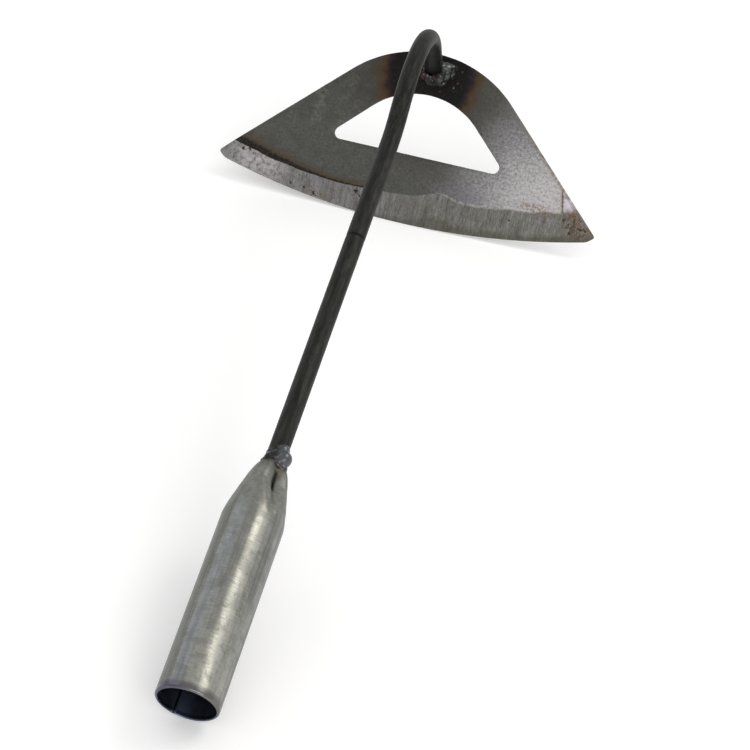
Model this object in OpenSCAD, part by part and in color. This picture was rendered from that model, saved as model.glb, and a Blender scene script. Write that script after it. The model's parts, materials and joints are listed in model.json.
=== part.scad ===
// Hand weeding hoe with a hollow blade: a tube socket for a handle, a bent round-bar neck
// and a rounded triangular blade with a window, all welded together.
// Frame: the hoe lies on a level surface as it would on a bench, socket mouth towards -Y,
// blade towards +Y, +Z up. The origin is the centre of the socket's mouth.

/* [Socket] */
// Outside diameter of the socket tube
socket_od = 25; // [20:0.5:38]
// Wall of the socket tube
socket_wall = 1.2; // [1:0.1:2.5]
// Length of the round part of the socket, from the mouth to the start of the pinch
socket_len = 80; // [50:1:140]
// Length over which the tube is pinched down onto the neck
pinch_len = 28; // [20:1:50]
// Depth of the fold that the pinching leaves in the tube
fold_depth = 3; // [1:0.1:3.5]
// Direction of the fold round the tube, in degrees from the top towards +X
fold_angle = 37; // [0:1:90]
// Rounding of the mouth's outer edge
mouth_round = 0.5; // [0.2:0.1:0.9]

/* [Neck] */
// Diameter of the round bar
rod_d = 8; // [6:0.5:12]
// Length of bar held inside the pinched end
rod_tail = 22; // [14:1:26]
// Straight bar between the socket's pinched end and the first bend
neck_straight = 171.5; // [80:1:400]
// Centreline radius of the slight upward bend
rise_radius = 40; // [20:1:80]
// Angle of the slight upward bend
rise_angle = 25; // [5:1:35]
// Straight bar between the two bends
rise_run = 5; // [1:1:40]
// Centreline radius of the bend over the blade
hook_radius = 44; // [25:1:70]
// Slope of the bar where it comes down onto the blade, from the socket's axis
drop_angle = 72; // [50:1:85]
// Straight bar from the end of the bend to the blade's face
drop_run = 25.5; // [12:0.5:60]

/* [Blade] */
// Width of the blade from tip to tip
blade_w = 184.5; // [150:0.5:230]
// Height of the blade from the line between its tips to its top
blade_h = 68; // [60:0.5:90]
// Plate thickness
plate_t = 2.5; // [2:0.1:4]
// Radius of the rounded top of the blade
crown_r = 56.5; // [45:0.5:60]
// How far the middle of the cutting edge bulges beyond the line between the tips
edge_bulge = 14; // [8:0.5:20]
// Radius of the cutting edge's arc
edge_r = 360; // [330:5:600]
// Length of the blunt end ground on each tip
tip_blunt = 3.5; // [1:0.5:8]
// Width of the sharpened bevel
bevel_w = 13; // [6:0.5:18]
// Thickness left at the sharpened edge
edge_land = 0.3; // [0.2:0.1:0.8]
// Angle between the blade and the socket's axis
blade_angle = 39.4; // [25:0.5:60]
// Distance from the bar's end to the top edge of the blade
foot_inset = 9; // [6:0.5:12]

/* [Window] */
// Width of metal left round the window along the top and the sides
frame_w = 20; // [14:0.5:26]
// Height of the window's lower edge above the line between the tips
sill_h = 18.6; // [14:0.5:24]
// Radius of the window's two lower corners
corner_r = 3; // [2:0.5:6]

/* [Welds] */
// Size of the weld bead round the bar's foot on the blade
foot_bead = 2.6; // [1.5:0.1:3.5]
// Size of the extra lump at one side of that bead
foot_lump = 3.6; // [2:0.1:4.5]
// Height of the weld bead round the bar where it enters the socket
collar_bead = 1.8; // [1.2:0.1:2]
// Length of that bead along the bar
collar_len = 8; // [4:0.5:12]
// Size of the ball of weld metal beside the bar at the socket
collar_ball = 3.7; // [2:0.1:4.5]
// Size of the largest spatter drop on the blade
spatter_r = 0.9; // [0.5:0.1:1.5]

/* [Hidden] */
$fn = 96;

STEEL = "#8d8f8c";
BLACK_BAR = "#3a3a38";
BRIGHT_TUBE = "#a2a4a3";
WELD_METAL = "#4b4e55";

socket_r = socket_od / 2;
bore_r = socket_r - socket_wall;
rod_r = rod_d / 2;
slack = 1;

// The bar's route in the plane X = 0: rise, run, hook and drop.
rise_y = socket_len + pinch_len + neck_straight;
run_y = rise_y + rise_radius * sin(rise_angle);
run_z = rise_radius * (1 - cos(rise_angle));
hook_y = run_y + rise_run * cos(rise_angle);
hook_z = run_z + rise_run * sin(rise_angle);
hook_cy = hook_y + hook_radius * sin(rise_angle);
hook_cz = hook_z - hook_radius * cos(rise_angle);
drop_y = hook_cy + hook_radius * sin(drop_angle);
drop_z = hook_cz + hook_radius * cos(drop_angle);
foot_y = drop_y + drop_run * cos(drop_angle);
foot_z = drop_z - drop_run * sin(drop_angle);

// The blade's own axes start at the middle of the line between its tips, on the upper face.
foot_h = blade_h - foot_inset;
blade_y = foot_y - foot_h * cos(blade_angle);
blade_z = foot_z - foot_h * sin(blade_angle);

// The side edges run straight from each tip and touch the crown's arc at side_angle.
crown_h = blade_h - crown_r;
tip_reach = norm([blade_w / 2, crown_h]);
side_angle = 90 + atan(crown_h / (blade_w / 2)) - acos(crown_r / tip_reach);
edge_centre_h = edge_r - edge_bulge;
blunt_x = blade_w / 2 - tip_blunt;
blunt_h = edge_centre_h - sqrt(edge_r * edge_r - blunt_x * blunt_x);

// The window's arc and sides are parallel to the blade's.
window_r = crown_r - frame_w;
corner_h = sill_h + corner_r;
corner_x = (window_r - corner_r - (corner_h - crown_h) * cos(side_angle)) / sin(side_angle);

// Lying down, the hoe rests on the lip of its socket and on the middle of its cutting edge.
edge_low_y = blade_y - edge_bulge * cos(blade_angle) + plate_t * sin(blade_angle);
edge_low_z = blade_z - edge_bulge * sin(blade_angle) - plate_t * cos(blade_angle);
rest_tilt = atan((-socket_r - edge_low_z) / edge_low_y);

// Shape of the pinched end of the tube, from 0 at its start to 1 at its end.
PINCH_RINGS = 16;
PINCH_SIDES = 60;
PINCH_STEP = 0.02;
pinch_end_r = rod_r + 2;
function pinch_r(s) = socket_r - PINCH_STEP - (socket_r - pinch_end_r) * pow(s, 1.25);
function fold_at(s) = fold_depth * sin(180 * pow(s, 1.2));
function fold_share(a, s) = exp(-pow(abs(sin(a - fold_angle)) / (0.62 - 0.36 * s), 2));
function pinch_point(a, s) =
    let (r = pinch_r(s) - fold_at(s) * fold_share(a, s))
    [r * sin(a), -r * cos(a), socket_len + pinch_len * s];
// The pinched end is rooted inside the wall of the round tube.
function root_point(a) = let (r = socket_r - socket_wall / 2) [r * sin(a), -r * cos(a), socket_len - socket_wall];

module at_rest() {
    rotate([rest_tilt, 0, 0]) children();
}

// Turns a shape drawn along +Z so that it runs along the socket's axis.
module along_socket() {
    rotate([-90, 0, 0]) children();
}

// Puts a shape drawn in the blade's own axes, upper face at 0, onto the neck.
module on_blade() {
    translate([0, blade_y, blade_z]) rotate([blade_angle, 0, 0]) children();
}

// Moves to the middle of the bar's foot, still in the blade's own axes.
module at_foot() {
    on_blade() translate([0, foot_h, 0]) children();
}

// Points along an arc, from one compass angle to another, 0 being towards the blade's top.
function arc(x, h, r, from, to, steps) =
    [for (i = [0:steps]) let (a = from + (to - from) * i / steps) [x + r * sin(a), h + r * cos(a)]];

// The blade's outline. It runs on past the cutting edge, where the bevel trims it.
module blade_outline() {
    tip = [blade_w / 2, 0];
    past = tip + 2 * ([blunt_x, blunt_h] - tip);
    low = -edge_bulge - slack;
    polygon(concat([[-past.x, low], [-past.x, past.y], [-tip.x, tip.y]],
        arc(0, crown_h, crown_r, -side_angle, side_angle, 28),
        [tip, past, [past.x, low]]));
}

module window_outline() {
    polygon(concat(
        arc(-corner_x, corner_h, corner_r, -180, -side_angle, 8),
        arc(0, crown_h, window_r, -side_angle, side_angle, 24),
        arc(corner_x, corner_h, corner_r, side_angle, 180, 8)));
}

// What the grinding leaves: the edge's full radius at the lower face and, at the upper face,
// that radius less the bevel's width.
module bevel_cone() {
    above = 1;
    grade = bevel_w / (plate_t - edge_land);
    translate([0, edge_centre_h, 0]) rotate_extrude($fn = 720) polygon([[0, -plate_t - slack],
        [edge_r, -plate_t - slack], [edge_r, edge_land - plate_t],
        [edge_r - bevel_w - above * grade, above], [0, above]]);
}

module blade() {
    color(STEEL) at_rest() on_blade() intersection() {
        translate([0, 0, -plate_t]) linear_extrude(plate_t) difference() {
            blade_outline();
            window_outline();
        }
        bevel_cone();
    }
}

// One bend of the bar: its centre of curvature, its radius and the two slopes it joins.
module bend(cy, cz, radius, from, to) {
    translate([0, cy, cz]) rotate([0, 90, 0]) rotate([0, 0, from])
        rotate_extrude(angle = to - from, $fn = 180) translate([radius, 0]) circle(rod_r, $fn = 48);
}

// A straight stretch of the bar that leaves the point (y, z) at a slope.
module straight(y, z, slope, len) {
    translate([0, y, z]) rotate([slope - 90, 0, 0]) cylinder(h = len, r = rod_r, $fn = 48);
}

// A ball a hair wider than the bar joins two stretches where they meet.
module joint(y, z) {
    translate([0, y, z]) sphere(rod_r + 0.02, $fn = 48);
}

module bar_route(foot_extra = 0) {
    tail_y = socket_len + pinch_len - rod_tail;
    straight(tail_y, 0, 0, rise_y - tail_y);
    bend(rise_y, rise_radius, rise_radius, 0, rise_angle);
    straight(run_y, run_z, rise_angle, rise_run);
    bend(hook_cy, hook_cz, hook_radius, 180 - drop_angle, 180 + rise_angle);
    straight(drop_y, drop_z, -drop_angle, drop_run + foot_extra);
    joint(rise_y, 0);
    joint(run_y, run_z);
    joint(hook_y, hook_z);
    joint(drop_y, drop_z);
}

// A block under the plane of the blade's upper face.
module below_blade_face() {
    block = 4 * rod_d;
    at_foot() translate([-block / 2, -block / 2, -block]) cube(block);
}

module neck_bar() {
    color(BLACK_BAR) at_rest() difference() {
        bar_route(rod_d);
        below_blade_face();
    }
}

// The pinched end of the tube as one closed solid, filled inside.
module pinched_end() {
    turns = [for (j = [0:PINCH_SIDES - 1]) 360 * j / PINCH_SIDES];
    root = [for (a = turns) root_point(a)];
    rings = [for (i = [0:PINCH_RINGS]) for (a = turns) pinch_point(a, i / PINCH_RINGS)];
    walls = [for (i = [0:PINCH_RINGS]) for (j = [0:PINCH_SIDES - 1])
        let (k = (j + 1) % PINCH_SIDES, a = i * PINCH_SIDES, b = a + PINCH_SIDES)
        [a + j, b + j, b + k, a + k]];
    start = [for (j = [0:PINCH_SIDES - 1]) j];
    end = [for (j = [PINCH_SIDES - 1:-1:0]) (PINCH_RINGS + 1) * PINCH_SIDES + j];
    polyhedron(concat(root, rings), concat(walls, [start, end]), convexity = 6);
}

// The space inside the socket: the handle's bore, a funnel and the hole that grips the bar.
module socket_hollow() {
    funnel = pinch_len * 0.45;
    far = socket_len + pinch_len + slack;
    rotate_extrude() polygon([[0, -slack], [bore_r, -slack], [bore_r, socket_len],
        [rod_r, socket_len + funnel], [rod_r, far], [0, far]]);
}

module socket_tube() {
    color(BRIGHT_TUBE) at_rest() along_socket() difference() {
        union() {
            rotate_extrude() polygon([[0, 0], [socket_r - mouth_round, 0],
                [socket_r - mouth_round * 0.3, mouth_round * 0.3], [socket_r, mouth_round],
                [socket_r, socket_len], [0, socket_len]]);
            pinched_end();
        }
        socket_hollow();
    }
}

// Weld metal lies on the blade round the foot of the bar, with a larger lump at one side.
module foot_weld() {
    beads = 8;
    color(WELD_METAL) at_rest() difference() {
        at_foot() {
            for (i = [0:beads - 1]) {
                size = foot_bead * (1 + 0.12 * sin(150 * i));
                rotate([0, 0, 360 * i / beads]) translate([rod_r + 0.3 * size, 0, 0]) sphere(size, $fn = 32);
            }
            translate([rod_r + 0.8 * foot_lump, 0.1 * foot_lump, 0]) sphere(foot_lump, $fn = 40);
        }
        below_blade_face();
        bar_route(rod_d);
    }
}

// A tapering ring of weld fills the corner between the end of the pinched tube and the bar.
module collar_weld() {
    shoulder = 0.35;
    color(WELD_METAL) at_rest() along_socket() translate([0, 0, socket_len + pinch_len]) difference() {
        rotate_extrude() polygon([[rod_r, 0], [rod_r + collar_bead, 0],
            [rod_r + collar_bead * 0.8, collar_len * shoulder],
            [rod_r + collar_bead * shoulder, collar_len * 0.7], [rod_r, collar_len]]);
        ball_place() sphere(collar_ball, $fn = 48);
    }
}

// Where the ball sits: beside the bar, just past the end of the pinch.
module ball_place() {
    out = rod_r + 0.15 * collar_ball;
    side = 65;
    translate([out * sin(side), -out * cos(side), 0.8 * collar_ball]) children();
}

module weld_ball() {
    block = 4 * collar_ball;
    color(WELD_METAL) at_rest() along_socket() translate([0, 0, socket_len + pinch_len]) difference() {
        ball_place() sphere(collar_ball, $fn = 48);
        translate([0, 0, -slack]) cylinder(h = block, r = rod_r, $fn = 48);
        translate([-block / 2, -block / 2, -block]) cube(block);
    }
}

// A few drops of spatter beside the weld, each a separate dome on the blade's face.
module weld_spatter() {
    drops = [[12, -2.5, 1], [10.6, -5, 0.8], [13, 3, 0.7], [4.6, -8, 0.6], [-9.6, -2, 0.6]];
    color(WELD_METAL) at_rest() at_foot() for (d = drops)
        translate([d.x, d.y, 0]) intersection() {
            sphere(spatter_r * d.z, $fn = 24);
            translate([-spatter_r, -spatter_r, 0]) cube(2 * spatter_r);
        }
}

blade();
neck_bar();
socket_tube();
foot_weld();
collar_weld();
weld_ball();
weld_spatter();
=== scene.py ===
"""Looks for the hand weeding hoe: blade, bar, socket, welds, floor, light and camera.

Three sets of axes are used. The first two have their lengths in millimetres:
  tool   the socket's axis is +Y, the mouth is at the origin, the blade is symmetric about X = 0
  plate  x across the blade, h from the line between its tips towards its top, z out of its upper face
  row    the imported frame, in metres, in which the hoe lies on the floor
"""

import json
import math
from types import SimpleNamespace

import bmesh
import bpy
import numpy as np
from mathutils import Matrix, Vector, noise


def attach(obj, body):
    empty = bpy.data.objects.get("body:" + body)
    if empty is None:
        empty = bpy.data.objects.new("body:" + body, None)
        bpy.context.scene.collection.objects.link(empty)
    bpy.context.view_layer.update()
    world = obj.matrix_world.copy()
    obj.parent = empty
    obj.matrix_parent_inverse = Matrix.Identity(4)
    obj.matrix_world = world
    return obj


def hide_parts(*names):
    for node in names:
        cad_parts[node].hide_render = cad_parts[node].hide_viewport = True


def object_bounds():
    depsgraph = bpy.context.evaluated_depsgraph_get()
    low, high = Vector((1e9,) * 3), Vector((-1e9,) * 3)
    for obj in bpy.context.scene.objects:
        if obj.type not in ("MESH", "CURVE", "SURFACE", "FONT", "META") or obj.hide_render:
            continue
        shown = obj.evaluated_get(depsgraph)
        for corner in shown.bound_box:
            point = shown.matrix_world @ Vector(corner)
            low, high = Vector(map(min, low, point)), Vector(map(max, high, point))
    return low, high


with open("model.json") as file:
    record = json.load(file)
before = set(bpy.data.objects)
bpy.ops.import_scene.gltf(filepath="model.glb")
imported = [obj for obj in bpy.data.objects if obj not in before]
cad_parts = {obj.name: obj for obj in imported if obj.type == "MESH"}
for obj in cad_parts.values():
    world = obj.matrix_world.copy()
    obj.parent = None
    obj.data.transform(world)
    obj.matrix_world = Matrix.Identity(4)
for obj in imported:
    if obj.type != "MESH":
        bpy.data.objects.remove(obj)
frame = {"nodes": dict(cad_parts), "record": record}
cad_low, cad_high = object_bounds()
record = frame["record"]
MM = 0.001

# Sizes of the hoe, in millimetres, as in the part's source.
SOCKET_LEN, PINCH_LEN, WALL = 80.0, 28.0, 1.2
FOLD_ANGLE = math.radians(37)
ROD_R, ROD_TAIL, NECK_STRAIGHT = 4.0, 22.0, 171.5
RISE_RADIUS, RISE_ANGLE, RISE_RUN = 40.0, math.radians(25), 5.0
HOOK_RADIUS, DROP_ANGLE, DROP_RUN = 44.0, math.radians(72), 25.5
PLATE_T, EDGE_LAND = 2.5, 0.3
BLADE_H, CROWN_R, EDGE_BULGE, EDGE_R, TIP_BLUNT = 68.0, 56.5, 14.0, 360.0, 3.5
FRAME_W, SILL_H, CORNER_R, FOOT_INSET = 20.0, 18.6, 3.0, 9.0


# ---------------------------------------------------------------- axes

socket_mount = next(m for m in record["mounts"] if m["name"] == "socket")
BORE_R = socket_mount["dims"]["r_mm"]
SOCKET_R = BORE_R + WALL
TILT = math.atan2(-socket_mount["axis"][2], -socket_mount["axis"][1])
TOOL = Matrix.Rotation(TILT, 4, "X") @ Matrix.Scale(MM, 4)


def plate_axes():
    """The matrix from the plate's axes to the row frame, and half the blade's width, from the CAD blade."""
    mesh = frame["nodes"]["blade"].data
    areas = {}
    for face in mesh.polygons:
        if face.normal.z > 0.1:
            key = tuple(round(v, 3) for v in face.normal)
            areas[key] = areas.get(key, 0.0) + face.area
    up = Vector(max(areas, key=areas.get)).normalized()
    across = Vector((1, 0, 0))
    along = up.cross(across)
    points = [v.co for v in mesh.vertices]
    face_level = max(p.dot(up) for p in points)
    widest = max(p.x for p in points)
    tips = [p.dot(along) for p in points if abs(p.x) > widest - 0.05 * MM]
    origin = along * (sum(tips) / len(tips)) + up * face_level
    turn = Matrix((across, along, up)).transposed().to_4x4()
    return Matrix.Translation(origin) @ turn @ Matrix.Scale(MM, 4), widest / MM


PLATE, HALF_W = plate_axes()


# ---------------------------------------------------------------- meshes

def add_object(name, mesh, material, replaces):
    """Makes a piece from a mesh whose points are already in the row frame."""
    for face in mesh.polygons:
        face.use_smooth = True
    mesh.materials.append(material)
    piece = bpy.data.objects.new(name, mesh)
    bpy.context.scene.collection.objects.link(piece)
    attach(piece, "root")
    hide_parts(*replaces)


def mesh_from(name, points, faces, axes):
    """A mesh from points given in one set of axes, turned into the row frame, with its normals outward."""
    mesh = bpy.data.meshes.new(name)
    mesh.from_pydata([axes @ Vector(p) for p in points], [], faces)
    work = bmesh.new()
    work.from_mesh(mesh)
    bmesh.ops.recalc_face_normals(work, faces=work.faces)
    work.to_mesh(mesh)
    work.free()
    return mesh


def point_values(mesh, title, values):
    """Gives each point of a mesh a number, for its material to read."""
    mesh.attributes.new(title, "FLOAT", "POINT").data.foreach_set("value", values)


def band_faces(a, b, sides):
    """Quads between two rings of points, which start at the indices a and b."""
    return [(a + j, a + (j + 1) % sides, b + (j + 1) % sides, b + j) for j in range(sides)]


def ring_faces(rings, sides, closed=False):
    """Quads between successive rings of points; closed also joins the last ring to the first."""
    faces = []
    for i in range(rings if closed else rings - 1):
        faces += band_faces(i * sides, (i + 1) % rings * sides, sides)
    return faces


def lump(x, y, z, size):
    """Smooth repeatable noise, -1 to 1, whose bumps are about size across."""
    return noise.noise(Vector((x, y, z)) / size)


def bell(x, width):
    """1 at x = 0, falling smoothly to 0 beyond the width on both sides."""
    return math.exp(-(x / width) ** 2)


def arc(x, h, r, start, end, steps):
    """Points on an arc; angles are from the h axis towards x."""
    return [(x + r * math.sin(a), h + r * math.cos(a)) for a in np.linspace(start, end, steps)]


# ---------------------------------------------------------------- blade

CROWN_H = BLADE_H - CROWN_R
EDGE_CENTRE = EDGE_R - EDGE_BULGE
SIDE_ANGLE = (math.pi / 2 + math.atan(CROWN_H / HALF_W)
              - math.acos(CROWN_R / math.hypot(HALF_W, CROWN_H)))

# The left tip is ground sharper than the right one and reaches a little further out.
LEFT_BLUNT = 1.6
LEFT_TIP = (-HALF_W - 1.6, 0.5)

# The blade's points lie on rings between the window and the outline, spaced along rays from this hub.
HUB = (0.0, 28.0)
OUTLINE_STEP = 0.6
FROM_WINDOW = (0.0, 0.12, 0.4)
FLAT_SHARES = (0.12, 0.25, 0.4, 0.55, 0.7, 0.82, 0.9, 0.96, 1.0)
BEVEL_SHARES = (0.06, 0.2, 0.4, 0.6, 0.8)
FROM_OUTLINE = (0.25, 0.1, 0.0)

NICK_DEPTH = 0.28
RIM_ROUNDING, ROUNDED_WIDTH = 0.25, 0.4
WARP = 0.1


def edge_height(x):
    return EDGE_CENTRE - math.sqrt(EDGE_R ** 2 - x ** 2)


def bevel_width(x):
    """The hand-ground bevel is wider right of the bar, widest just beside it, and narrower to its left."""
    return (12.0 + 2.3 * math.tanh((x + 18) / 22) + 3.2 * bell(x - 15, 9)
            + 0.6 * lump(x, 0, 7, 9.0) + 0.2 * lump(x, 0, 8, 2.2))


def above_bevel(x, h):
    """Distance above the line where the bevel begins; negative on the bevel."""
    from_edge = EDGE_R - math.hypot(x, h - EDGE_CENTRE)
    return from_edge - bevel_width(x)


def outline_points():
    """The outline from the right tip along the edge, round the left tip and over the crown."""
    right_end, left_end = HALF_W - TIP_BLUNT, LEFT_BLUNT - HALF_W
    lower = [(x, edge_height(x)) for x in np.linspace(right_end, left_end, 900)]
    crown = arc(0, CROWN_H, CROWN_R, -SIDE_ANGLE, SIDE_ANGLE, 200)
    return lower + [LEFT_TIP] + crown + [(HALF_W, 0)]


def window_points():
    inner = CROWN_R - FRAME_W
    corner_h = SILL_H + CORNER_R
    corner_x = (inner - CORNER_R - (corner_h - CROWN_H) * math.cos(SIDE_ANGLE)) / math.sin(SIDE_ANGLE)
    return (arc(-corner_x, corner_h, CORNER_R, -math.pi, -SIDE_ANGLE, 24)
            + arc(0, CROWN_H, inner, -SIDE_ANGLE, SIDE_ANGLE, 120)
            + arc(corner_x, corner_h, CORNER_R, SIDE_ANGLE, math.pi, 24))


def resample(points, step):
    """Points evenly spaced along a closed outline."""
    p = np.array(points + points[:1])
    run = np.r_[0, np.cumsum(np.hypot(*np.diff(p, axis=0).T))]
    at = np.arange(0, run[-1], run[-1] / round(run[-1] / step))
    return np.c_[np.interp(at, run, p[:, 0]), np.interp(at, run, p[:, 1])]


def reach(points, angles):
    """How far the outline is from the hub in each direction."""
    p = resample(points, 0.1) - HUB
    turn = np.arctan2(p[:, 1], p[:, 0])
    order = np.argsort(turn)
    return np.interp(angles, turn[order], np.hypot(*p.T)[order], period=2 * math.pi)


def ray_radii(c, s, r_in, r_out):
    """Where the rings cross one ray: close together at both rims and where the bevel begins."""
    track = np.linspace(r_in, r_out, 160)
    ground = [r for r in track if above_bevel(HUB[0] + r * c, HUB[1] + r * s) < 0]
    start = ground[0] if ground else r_out - 3.0
    start = min(max(start, r_in + 1.5), r_out - 0.5)
    radii = [r_in + d for d in FROM_WINDOW]
    radii += [r_in + (start - r_in) * k for k in FLAT_SHARES]
    radii += [start + (r_out - start) * k for k in BEVEL_SHARES]
    radii += [r_out - d for d in FROM_OUTLINE]
    return sorted(radii)


def blade_rays():
    """The rays from the hub: the cosine and sine of each, and the distances of its points."""
    outer = resample(outline_points(), OUTLINE_STEP)
    outer = sum(np.roll(outer, k, axis=0) for k in (-2, -1, 0, 1, 2)) / 5
    angles = np.arctan2(outer[:, 1] - HUB[1], outer[:, 0] - HUB[0])
    far = np.hypot(*(outer - HUB).T)
    near = reach(window_points(), angles)
    rays = []
    for turn, r_in, r_out in zip(angles, near, far):
        c, s = math.cos(turn), math.sin(turn)
        x, h = HUB[0] + r_out * c, HUB[1] + r_out * s
        on_edge = h < edge_height(x) + 0.3
        nick = NICK_DEPTH * max(0.0, lump(x, h, 3, 1.7) - 0.25) if on_edge else 0.0
        r_out -= nick + 0.05 * (1 + lump(x, h, 1, 4.0))
        r_in += 0.08 * lump(r_in * c, r_in * s, 2, 3.0)
        rays.append((c, s, ray_radii(c, s, r_in, r_out)))
    return rays


def blade_levels(x, h, from_rim):
    """Levels of the plate's upper and lower faces at a point."""
    above = above_bevel(x, h)
    ground_off = (PLATE_T - EDGE_LAND) * min(1.0, max(0.0, -above / bevel_width(x)))
    rounding = min(RIM_ROUNDING, 0.3 * (PLATE_T - ground_off))
    rounding *= max(0.0, 1 - from_rim / ROUNDED_WIDTH) ** 2
    wave = WARP * lump(x, h, 5, 45.0) + 0.02 * lump(x, h, 6, 6.0)
    under = (wave if above > 0 else wave * 0.6) + rounding * 0.6
    return wave - ground_off - rounding, under - PLATE_T


def make_blade(material):
    rays = blade_rays()
    rows, sides = len(rays[0][2]), len(rays)
    upper, lower, marks = [], [], []
    for row in range(rows):
        for c, s, radii in rays:
            r = radii[row]
            x, h = HUB[0] + r * c, HUB[1] + r * s
            top, bottom = blade_levels(x, h, min(r - radii[0], radii[-1] - r))
            upper.append((x, h, top))
            lower.append((x, h, bottom))
            marks.append(above_bevel(x, h))
    faces = ring_faces(rows, sides)
    faces += [tuple(v + len(upper) for v in reversed(face)) for face in faces]
    for row in (0, rows - 1):
        faces += band_faces(row * sides, row * sides + len(upper), sides)
    mesh = mesh_from("blade_plate", upper + lower, faces, PLATE)
    point_values(mesh, "above_bevel", marks * 2)
    point_values(mesh, "upper_face", [1.0] * len(upper) + [0.0] * len(lower))
    add_object("blade_plate", mesh, material, ["blade"])


# ---------------------------------------------------------------- bar

# Where the bar's parts begin and the centre of its hook, as (y, z) in the tool's axes, or y alone.
RISE_Y = SOCKET_LEN + PINCH_LEN + NECK_STRAIGHT
RUN = (RISE_Y + RISE_RADIUS * math.sin(RISE_ANGLE), RISE_RADIUS * (1 - math.cos(RISE_ANGLE)))
HOOK = (RUN[0] + RISE_RUN * math.cos(RISE_ANGLE), RUN[1] + RISE_RUN * math.sin(RISE_ANGLE))
HOOK_C = (HOOK[0] + HOOK_RADIUS * math.sin(RISE_ANGLE), HOOK[1] - HOOK_RADIUS * math.cos(RISE_ANGLE))
DROP = (HOOK_C[0] + HOOK_RADIUS * math.sin(DROP_ANGLE), HOOK_C[1] + HOOK_RADIUS * math.cos(DROP_ANGLE))
FOOT_Y = DROP[0] + DROP_RUN * math.cos(DROP_ANGLE)
FOOT_SINK = 0.6

BAR_SIDES, BAR_STEP = 48, 0.8
BAR_SWELL, BAR_GRAIN = 0.12, 0.03

# A fine ring is scored round the bar at this distance from the mouth.
MARK_Y, MARK_DEPTH, MARK_WIDTH = 226.0, 0.16, 0.5
# The bar darkens near its foot, with soot from the weld at the blade and painted shade on the leg that drops
# to it; this begins and is full at these distances along the tool's axis.
SOOT_AND_SHADE = (334.0, 358.0)


def bar_route():
    """Stations along the bar in the tool's axes: (y, z, slope, distance from the mouth)."""
    route, run = [], SOCKET_LEN + PINCH_LEN - ROD_TAIL

    def line(y, z, slope, length):
        nonlocal run
        for d in np.arange(0, length, BAR_STEP):
            route.append((y + d * math.cos(slope), z + d * math.sin(slope), slope, run + d))
        run += length

    def bend(cy, cz, radius, first, last):
        nonlocal run
        side = 1 if last > first else -1
        length = radius * abs(last - first)
        for d in np.arange(0, length, BAR_STEP):
            slope = first + side * d / radius
            y = cy + side * radius * math.sin(slope)
            z = cz - side * radius * math.cos(slope)
            route.append((y, z, slope, run + d))
        run += length

    line(run, 0, 0, RISE_Y - run)
    bend(RISE_Y, RISE_RADIUS, RISE_RADIUS, 0, RISE_ANGLE)
    line(*RUN, RISE_ANGLE, RISE_RUN)
    bend(*HOOK_C, HOOK_RADIUS, RISE_ANGLE, -DROP_ANGLE)
    line(*DROP, -DROP_ANGLE, DROP_RUN + FOOT_SINK)
    return route


def make_bar(material):
    points = []
    route = bar_route()
    for y, z, slope, run in route:
        ring_r = ROD_R + BAR_SWELL - MARK_DEPTH * bell(run - MARK_Y, MARK_WIDTH)
        for j in range(BAR_SIDES):
            a = 2 * math.pi * j / BAR_SIDES
            r = ring_r + BAR_GRAIN * lump(ROD_R * math.cos(a), ROD_R * math.sin(a), run, 5.0)
            up = r * math.cos(a)
            points.append((r * math.sin(a), y - up * math.sin(slope), z + up * math.cos(slope)))
    faces = ring_faces(len(route), BAR_SIDES)
    for end in (0, len(points) - BAR_SIDES):
        faces.append(tuple(end + j for j in range(BAR_SIDES)))
    mesh = mesh_from("neck_round_bar", points, faces, TOOL)
    add_object("neck_round_bar", mesh, material, ["neck_bar"])


# ---------------------------------------------------------------- socket

SOCKET_SIDES, PINCH_RINGS = 240, 110
PINCH_END = SOCKET_LEN + PINCH_LEN
PINCH_END_R = ROD_R + 2.0
GRIP_R = ROD_R + 0.05
FUNNEL_END = SOCKET_LEN + 0.45 * PINCH_LEN
LIP_R = 0.9
SEAM_ANGLE, SEAM_HEIGHT, SEAM_WIDTH = math.radians(-150), 0.2, 0.7


def rise_and_fall(s, start, length):
    """0 up to start, 1 half way along the length and 0 again from its end on."""
    return math.sin(math.pi * min(1.0, max(0.0, (s - start) / length)))


def pinch_slit(angle, s):
    """Depth of the dark opening where the two sides of the fold meet, with a crease running on below it."""
    if math.cos(angle - FOLD_ANGLE) < 0:
        return 0.0
    off = 9.0 * math.sin(angle - FOLD_ANGLE) * (1 - 0.25 * s)
    opening = rise_and_fall(s, 0.46, 0.40)
    crease = rise_and_fall(s, 0.16, 0.42)
    return 2.1 * bell(off, 0.85) * opening ** 0.8 + 0.6 * bell(off, 0.7) * crease


def pinch_radius(angle, s):
    """Outer radius of the pinched tube; angle is from the top towards +X, s runs 0 to 1 along the pinch."""
    closing = min(1.0, max(0.0, (s - 0.78) / 0.22)) ** 2
    r = SOCKET_R - (SOCKET_R - PINCH_END_R) * s ** 1.25 - 1.2 * closing
    off = math.sin(angle - FOLD_ANGLE)
    grown = min(1.0, s / 0.62)
    depth = 3.9 * grown ** 1.25 * (1 - s ** 5)
    width = 0.10 + 0.40 * grown - 0.10 * max(0.0, s - 0.62)
    valley = depth * math.exp(-abs(off / width) ** 2.4)
    ridge = 0.55 * grown * (1 - s) ** 0.5 * bell(abs(off) - 1.35 * width, 0.12)
    dent = 0.10 * lump(9 * math.sin(angle), 9 * math.cos(angle), 30 * s, 3.5) * min(1.0, 4 * s)
    return r - valley + ridge - pinch_slit(angle, s) + dent


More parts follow.
